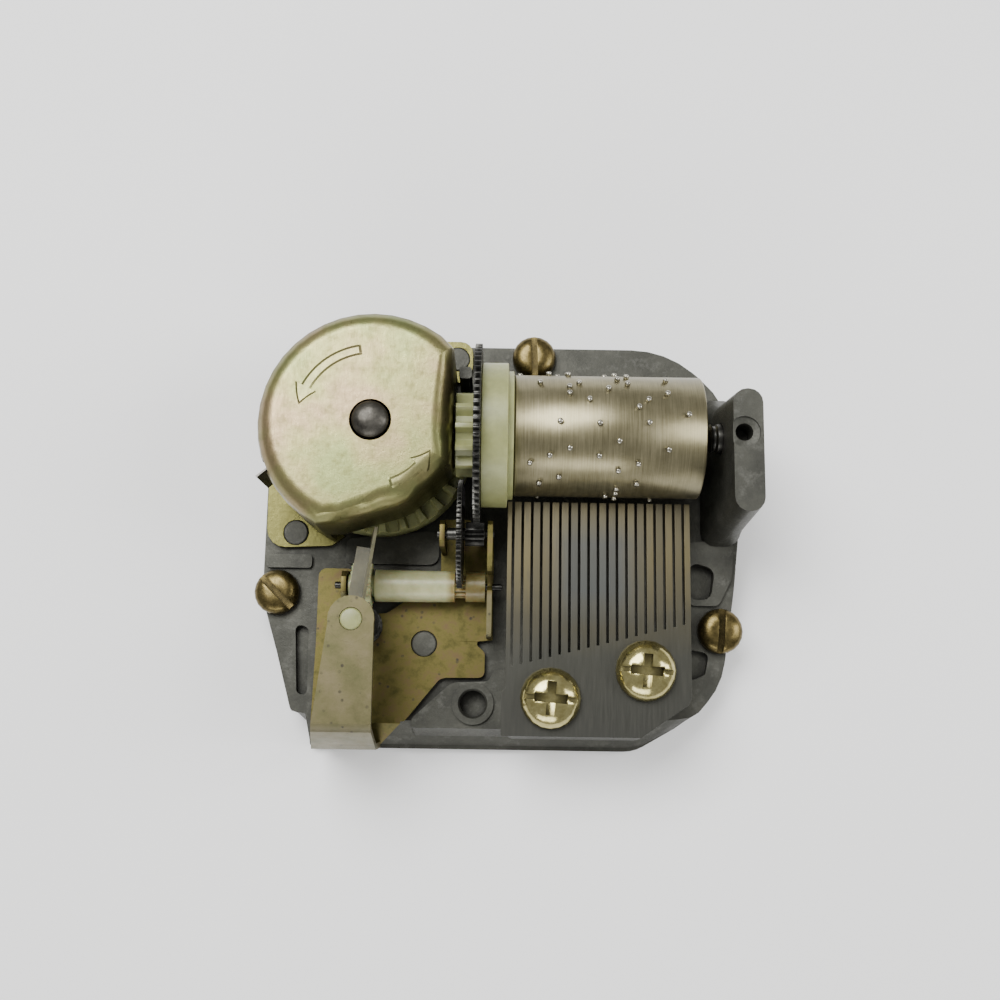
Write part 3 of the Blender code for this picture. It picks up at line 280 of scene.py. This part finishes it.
def sheet_brass():
    """Worn plated sheet: olive, with dark pits, and pinker on the raised arm."""
    s = Shader("worn_plated_sheet")
    blotch = s.noise(0.6, 7, 0.7)
    flat = s.ramp(blotch, ((0.33, (0.072, 0.066, 0.018)), (0.5, (0.122, 0.104, 0.030)),
                           (0.68, (0.125, 0.084, 0.042))))
    arm = s.ramp(s.noise(0.45, 6, 0.65), ((0.3, (0.095, 0.092, 0.040)),
                                          (0.5, (0.130, 0.116, 0.056)),
                                          (0.7, (0.160, 0.136, 0.076))))
    raised = s.remap(s.axis("Z"), 5.5, 7.5, 0, 1)
    front = s.remap(s.axis("Y"), -6.4, -6.0, 1, 0)
    colour = s.mix(s.math("MULTIPLY", raised, front), flat, arm)
    pits = s.math("MULTIPLY", s.specks(1.1, 0.12, 0.22), s.remap(blotch, 0.45, 0.6, 0, 1))
    colour = s.mix(pits, colour, (0.05, 0.045, 0.03))
    rough = s.remap(blotch, 0.3, 0.7, 0.34, 0.50)
    return s.finish(colour, rough, 0.8, s.noise(2.5, 6, 0.7), 0.2, 0.04)


def brushed_tube():
    """Tube turned on a lathe: fine rings round its axis, which lies along X."""
    s = Shader("brushed_tube")
    rings = s.noise(1.0, 5, 0.7, s.stretched((14, 0.25, 0.25)))
    haze = s.noise(0.3, 5, 0.6)
    colour = s.ramp(s.math("ADD", s.math("MULTIPLY", rings, 0.6), s.math("MULTIPLY", haze, 0.4)),
                    ((0.36, (0.160, 0.142, 0.080)), (0.5, (0.230, 0.206, 0.122)),
                     (0.66, (0.325, 0.292, 0.185))))
    rough = s.remap(rings, 0.3, 0.7, 0.28, 0.40)
    return s.finish(colour, rough, 0.92, rings, 0.15, 0.01)


def bright_metal(name, low, high, roughness, metallic=0.95, recess_shade=None):
    """Small turned or stamped metal piece with stains and slight unevenness; where a shade colour
    is given, painted shade darkens its recesses.
    """
    s = Shader(name)
    cloud = s.noise(1.4, 6, 0.65)
    grain = s.noise(9.0, 4, 0.6)
    colour = s.ramp(cloud, ((0.34, low), (0.66, high)))
    # Painted shade in the piece's recesses, where a shade colour is given.
    if recess_shade:
        colour = s.shade_recesses(colour, 0.9, recess_shade, 0.85)
    rough = s.remap(grain, 0.3, 0.7, roughness - 0.06, roughness + 0.1)
    return s.finish(colour, rough, metallic, s.noise(4.0, 5, 0.65), 0.2, 0.02)


def tempered_comb():
    """Ground comb: grey root, straw and blue tempering colours towards the teeth's tips."""
    s = Shader("tempered_comb")
    low, high = (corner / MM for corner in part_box("comb"))
    along = s.remap(s.axis("Y"), low.y, high.y, 0, 1)
    drift = s.math("MULTIPLY", s.math("SUBTRACT", s.noise(0.25, 4, 0.6), 0.5), 0.16)
    temper = s.ramp(s.math("ADD", along, drift),
                    ((0.00, (0.048, 0.048, 0.041)), (0.34, (0.050, 0.050, 0.041)),
                     (0.50, (0.068, 0.062, 0.041)), (0.62, (0.105, 0.090, 0.048)),
                     (0.76, (0.128, 0.107, 0.054)), (1.00, (0.140, 0.120, 0.068))))
    across = s.remap(s.axis("X"), low.x, high.x, 0, 1)
    blue_band = s.ramp(across, ((0.22, (0, 0, 0)), (0.36, (1, 1, 1)), (0.62, (1, 1, 1)),
                                (0.80, (0, 0, 0))))
    blue_reach = s.ramp(along, ((0.45, (0, 0, 0)), (0.62, (1, 1, 1)), (0.82, (1, 1, 1)),
                                (0.97, (0, 0, 0))))
    share = s.math("MULTIPLY", s.math("MULTIPLY", blue_band, blue_reach), 0.62)
    colour = s.mix(share, temper, (0.062, 0.076, 0.094))
    from_first = s.math("SUBTRACT", s.axis("X"), FIRST_NOTE_X)
    tone = s.lottery(s.math("FLOOR", s.math("DIVIDE", from_first, NOTE_PITCH)))
    darker = s.math("MULTIPLY", s.remap(tone, 0.4, 1.0, 0, 0.45),
                    s.remap(along, 0.45, 0.6, 0, 1))
    colour = s.mix(darker, colour, (0.05, 0.05, 0.042))
    streak = s.noise(1.0, 4, 0.6, s.stretched((5, 0.3, 5)))
    colour = s.mix(s.remap(streak, 0.5, 0.75, 0, 0.5), colour, (0.06, 0.058, 0.05))
    rough = s.remap(streak, 0.3, 0.7, 0.38, 0.52)
    return s.finish(colour, rough, 0.7, s.noise(1.0, 4, 0.6, s.stretched((18, 1.2, 18))), 0.2,
                    0.02)


def nylon(name, low, high, glow=0.25, alpha=1.0):
    """Moulded nylon, slightly translucent."""
    s = Shader(name)
    cloud = s.noise(0.5, 6, 0.65)
    colour = s.ramp(cloud, ((0.3, low), (0.65, high)))
    rough = s.remap(s.noise(3.0, 4, 0.6), 0.3, 0.7, 0.30, 0.46)
    material = s.finish(colour, rough, 0.0, s.noise(6.0, 4, 0.6), 0.12, 0.02)
    s.principled.inputs["Subsurface Weight"].default_value = glow
    s.principled.inputs["Subsurface Radius"].default_value = (1.0, 0.8, 0.5)
    s.principled.inputs["Subsurface Scale"].default_value = 1.2 * MM
    s.principled.inputs["Alpha"].default_value = alpha
    return material


def two_tone_rod(low, high, amber):
    """Cream nylon that is amber round the pinion at its right end."""
    s = Shader("two_tone_nylon")
    cream = s.ramp(s.noise(0.5, 6, 0.65), ((0.3, low), (0.65, high)))
    stain = s.remap(s.noise(1.6, 5, 0.6), 0.35, 0.65, 0.75, 1)
    right = s.math("MULTIPLY", s.remap(s.axis("X"), -5.3, -4.7, 0, 1), stain)
    colour = s.mix(right, cream, amber)
    rough = s.remap(s.noise(3.0, 4, 0.6), 0.3, 0.7, 0.28, 0.42)
    material = s.finish(colour, rough, 0.0, s.noise(6.0, 4, 0.6), 0.12, 0.02)
    s.principled.inputs["Subsurface Weight"].default_value = 0.25
    s.principled.inputs["Subsurface Scale"].default_value = 1.2 * MM
    return material


def painted(node, material):
    mesh = NODES[node].data
    mesh.materials.clear()
    mesh.materials.append(material)


# ---------------------------------------------------------------- soft edges


def make_soft_group(degrees):
    """Node group that shades faces smooth and keeps edges sharper than an angle."""
    group = bpy.data.node_groups.new(f"soft_{degrees}", "GeometryNodeTree")
    group.interface.new_socket("Geometry", in_out="INPUT", socket_type="NodeSocketGeometry")
    group.interface.new_socket("Geometry", in_out="OUTPUT", socket_type="NodeSocketGeometry")
    start = group.nodes.new("NodeGroupInput")
    end = group.nodes.new("NodeGroupOutput")
    faces = group.nodes.new("GeometryNodeSetShadeSmooth")
    faces.domain = "FACE"
    edges = group.nodes.new("GeometryNodeSetShadeSmooth")
    edges.domain = "EDGE"
    edges.inputs["Shade Smooth"].default_value = False
    angle = group.nodes.new("GeometryNodeInputMeshEdgeAngle")
    sharper = group.nodes.new("FunctionNodeCompare")
    sharper.data_type = "FLOAT"
    sharper.operation = "GREATER_THAN"
    sharper.inputs[1].default_value = math.radians(degrees)
    group.links.new(start.outputs[0], faces.inputs["Geometry"])
    group.links.new(faces.outputs[0], edges.inputs["Geometry"])
    group.links.new(angle.outputs["Unsigned Angle"], sharper.inputs[0])
    group.links.new(sharper.outputs[0], edges.inputs["Selection"])
    group.links.new(edges.outputs[0], end.inputs[0])
    return group


SOFT = make_soft_group(SHARP_ANGLE)


def soften(obj, bevel=0.05):
    """Weld, dissolve flat triangulation, break sharp edges and shade round faces smooth."""
    weld = obj.modifiers.new("weld", "WELD")
    weld.merge_threshold = 1e-6
    if bevel:
        flat = obj.modifiers.new("flat faces", "DECIMATE")
        flat.decimate_type = "DISSOLVE"
        flat.angle_limit = math.radians(0.5)
        edge = obj.modifiers.new("broken edges", "BEVEL")
        edge.width = bevel * MM
        edge.segments = 2
        edge.limit_method = "ANGLE"
        edge.angle_limit = math.radians(BEVEL_ANGLE)
    smooth = obj.modifiers.new("smooth faces", "NODES")
    smooth.node_group = SOFT
    weighted = obj.modifiers.new("flat face normals", "WEIGHTED_NORMAL")
    weighted.keep_sharp = True


# ---------------------------------------------------------------- new pieces


def new_piece(name, bm, materials, body, slot, *replaced):
    mesh = bpy.data.meshes.new(name)
    bm.to_mesh(mesh)
    bm.free()
    for material in materials:
        mesh.materials.append(material)
    piece = bpy.data.objects.new(name, mesh)
    bpy.context.scene.collection.objects.link(piece)
    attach(piece, body)
    if replaced:
        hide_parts(*replaced)
    return piece


def spin_ring(bm, radius, x, count):
    turns = [2 * math.pi * i / count for i in range(count)]
    return [bm.verts.new((x, CYLINDER[1] + radius * math.cos(t) * MM,
                          CYLINDER[2] + radius * math.sin(t) * MM)) for t in turns]


def bridge(bm, first, second, material=0):
    for i in range(len(first)):
        j = (i + 1) % len(first)
        face = bm.faces.new((first[i], first[j], second[j], second[i]))
        face.smooth = True
        face.material_index = material


def pin_places():
    """Generic practice pattern of broken chords, as (track, angle)."""
    dice = random.Random(18)
    places = []
    for step in range(STEPS_PER_TURN):
        angle = 2 * math.pi * step / STEPS_PER_TURN
        root = 1 + (step * 5) % 7
        for track in (root, root + 4 + step % 3, root + 9 + (step // 2) % 3):
            if track <= NOTES and dice.random() < 0.55:
                places.append((track, angle + dice.uniform(-0.02, 0.02)))
    return places


def add_pin(bm, x, angle):
    """Round pin with a domed end, standing out of the tube."""
    out = Vector((0, math.cos(angle), math.sin(angle)))
    side = Vector((1, 0, 0))
    other = out.cross(side)
    foot = Vector((x, CYLINDER[1], CYLINDER[2]))
    rings = []
    for reach, radius in ((CYL_RADIUS - 0.1, 1.0), (PIN_TIP_RADIUS - 0.1, 1.0),
                          (PIN_TIP_RADIUS - 0.03, 0.8), (PIN_TIP_RADIUS, 0.35)):
        centre = foot + out * reach * MM
        rings.append([bm.verts.new(centre + (side * math.cos(t) + other * math.sin(t))
                                   * PIN_RADIUS * radius * MM)
                      for t in (2 * math.pi * k / PIN_SIDES for k in range(PIN_SIDES))])
    for low, high in zip(rings, rings[1:]):
        bridge(bm, low, high, 1)
    bm.faces.new(rings[-1]).material_index = 1
    bm.faces.new(rings[0][::-1]).material_index = 1


def make_pinned_shell(tube, pins):
    """Finely turned tube and round pins in place of the faceted shell."""
    low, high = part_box("cylinder_shell")
    bm = bmesh.new()
    edge_radius = CYL_RADIUS - TUBE_CHAMFER
    profile = ((CYL_BORE, low.x), (edge_radius, low.x), (CYL_RADIUS, low.x + TUBE_CHAMFER * MM),
               (CYL_RADIUS, high.x - TUBE_CHAMFER * MM), (edge_radius, high.x),
               (CYL_BORE, high.x))
    rings = [spin_ring(bm, radius, x, TUBE_SIDES) for radius, x in profile]
    for first, second in zip(rings, rings[1:] + rings[:1]):
        bridge(bm, first, second)
    for track, angle in pin_places():
        x = (FIRST_NOTE_X + NOTE_PITCH * (track - 0.5) + FRAME_SHIFT_X) * MM
        add_pin(bm, x, angle)
    bmesh.ops.recalc_face_normals(bm, faces=bm.faces)
    new_piece("pinned_shell", bm, (tube, pins), "cylinder_set", "cylinder_metal",
              "cylinder_shell")


# ---------------------------------------------------------------- stage


def area_light(name, place, size, power):
    """Rectangular lamp that faces the origin."""
    data = bpy.data.lights.new(name, "AREA")
    data.shape = "RECTANGLE"
    data.size, data.size_y = size
    data.energy = power
    lamp = bpy.data.objects.new(name, data)
    lamp.location = place
    lamp.rotation_euler = (-Vector(place)).to_track_quat("-Z", "Y").to_euler()
    bpy.context.scene.collection.objects.link(lamp)


def make_stage():
    bm = bmesh.new()
    bmesh.ops.create_grid(bm, x_segments=1, y_segments=1, size=3)
    mesh = bpy.data.meshes.new("floor")
    bm.to_mesh(mesh)
    bm.free()
    floor = bpy.data.objects.new("floor", mesh)
    bpy.context.scene.collection.objects.link(floor)
    s = Shader("pale_floor")
    colour = s.ramp(s.noise(0.02, 3, 0.5), ((0.3, (0.86, 0.86, 0.86)), (0.7, (0.88, 0.88, 0.88))))
    mesh.materials.append(s.finish(colour, 0.9, 0.0))
    s.principled.inputs["Emission Color"].default_value = (1, 1, 1, 1)
    s.principled.inputs["Emission Strength"].default_value = 0.15

    world = bpy.data.worlds.new("studio")
    bpy.context.scene.world = world
    world.use_nodes = True
    background = world.node_tree.nodes["Background"]
    background.inputs["Color"].default_value = (1.0, 0.995, 0.97, 1)
    background.inputs["Strength"].default_value = 0.42
    for name, (place, size, power) in SOFTBOXES.items():
        area_light(name, place, size, power)


def make_camera():
    data = bpy.data.cameras.new("camera")
    data.lens = LENS
    data.sensor_width = 36
    data.clip_start = 0.005
    camera = bpy.data.objects.new("camera", data)
    camera.location = Vector(CAMERA_PLACE) * MM
    camera.rotation_euler = (math.radians(CAMERA_LEAN), 0, 0)
    camera.rotation_euler.rotate_axis("Z", math.radians(CAMERA_ROLL))
    bpy.context.scene.collection.objects.link(camera)
    bpy.context.scene.camera = camera


# ---------------------------------------------------------------- dressing


def dress():
    zinc = cast_zinc()
    cap = chromate("housing_chromate", (0.245, 0.226, 0.096), (0.115, 0.108, 0.034))
    steel = bright_metal("dark_steel", (0.030, 0.030, 0.028), (0.085, 0.083, 0.075), 0.34)
    black = bright_metal("blackened_steel", (0.045, 0.042, 0.036), (0.11, 0.104, 0.09), 0.40)
    spring = bright_metal("spring_steel", (0.07, 0.068, 0.062), (0.18, 0.17, 0.15), 0.28)
    # The screws' last colours are painted shade for their recesses.
    zinc_yellow = bright_metal("yellow_zinc", (0.34, 0.295, 0.115), (0.50, 0.45, 0.215), 0.15,
                               recess_shade=(0.035, 0.028, 0.010))
    old_brass = bright_metal("aged_brass", (0.07, 0.055, 0.020), (0.17, 0.130, 0.050), 0.30,
                             recess_shade=(0.02, 0.016, 0.008))
    brass = bright_metal("cap_brass", (0.30, 0.26, 0.14), (0.42, 0.38, 0.22), 0.34)
    lead = bright_metal("lead", (0.08, 0.08, 0.085), (0.17, 0.17, 0.18), 0.55, 0.7)
    cream = nylon("cream_nylon", (0.22, 0.23, 0.092), (0.31, 0.32, 0.14))
    rod = two_tone_rod((0.34, 0.34, 0.17), (0.50, 0.50, 0.28), (0.20, 0.15, 0.04))
    clear = nylon("smoky_nylon", (0.06, 0.057, 0.028), (0.13, 0.12, 0.065), 0.15, 0.9)
    dressing = {
        zinc: ("bedplate",),
        cap: ("spring_housing",),
        steel: ("cylinder_wheel", "second_wheel", "second_pinion", "worm", "governor_rod_pin",
                "cylinder_arbor", "bearing_screw", "spring_cover", "ratchet_wheel"),
        black: ("winding_arbor",),
        spring: ("mainspring", "ratchet_click", "arbor_retaining_ring"),
        zinc_yellow: ("comb_screw_left", "comb_screw_right"),
        old_brass: ("mounting_screw_rear", "mounting_screw_left", "mounting_screw_right"),
        brass: ("cylinder_end_cap",),
        lead: tuple(f"tooth_weight_{i}" for i in range(1, 9)),
        cream: ("drive_gear", "crown_pinion", "cylinder_hub", "governor_top_bearing",
                "worm_foot_bearing"),
        rod: ("governor_rod",),
        clear: ("fan",),
        sheet_brass(): ("governor_bracket",),
        tempered_comb(): ("comb",),
    }
    for material, names in dressing.items():
        for name in names:
            painted(name, material)
    bevels = {"bedplate": 0.12, "comb_screw_left": 0.1, "comb_screw_right": 0.1,
              "mounting_screw_rear": 0.1, "mounting_screw_left": 0.1,
              "mounting_screw_right": 0.1, "governor_bracket": 0.07, "comb": 0.03,
              "spring_housing": 0.05, "cylinder_hub": 0.1}
    for name, node in NODES.items():
        if name != "cylinder_shell":
            soften(node, bevels.get(name, 0.03))
    make_pinned_shell(brushed_tube(), bright_metal("pin_steel", (0.27, 0.255, 0.21),
                                                   (0.46, 0.44, 0.37), 0.2))


dress()
make_stage()
make_camera()
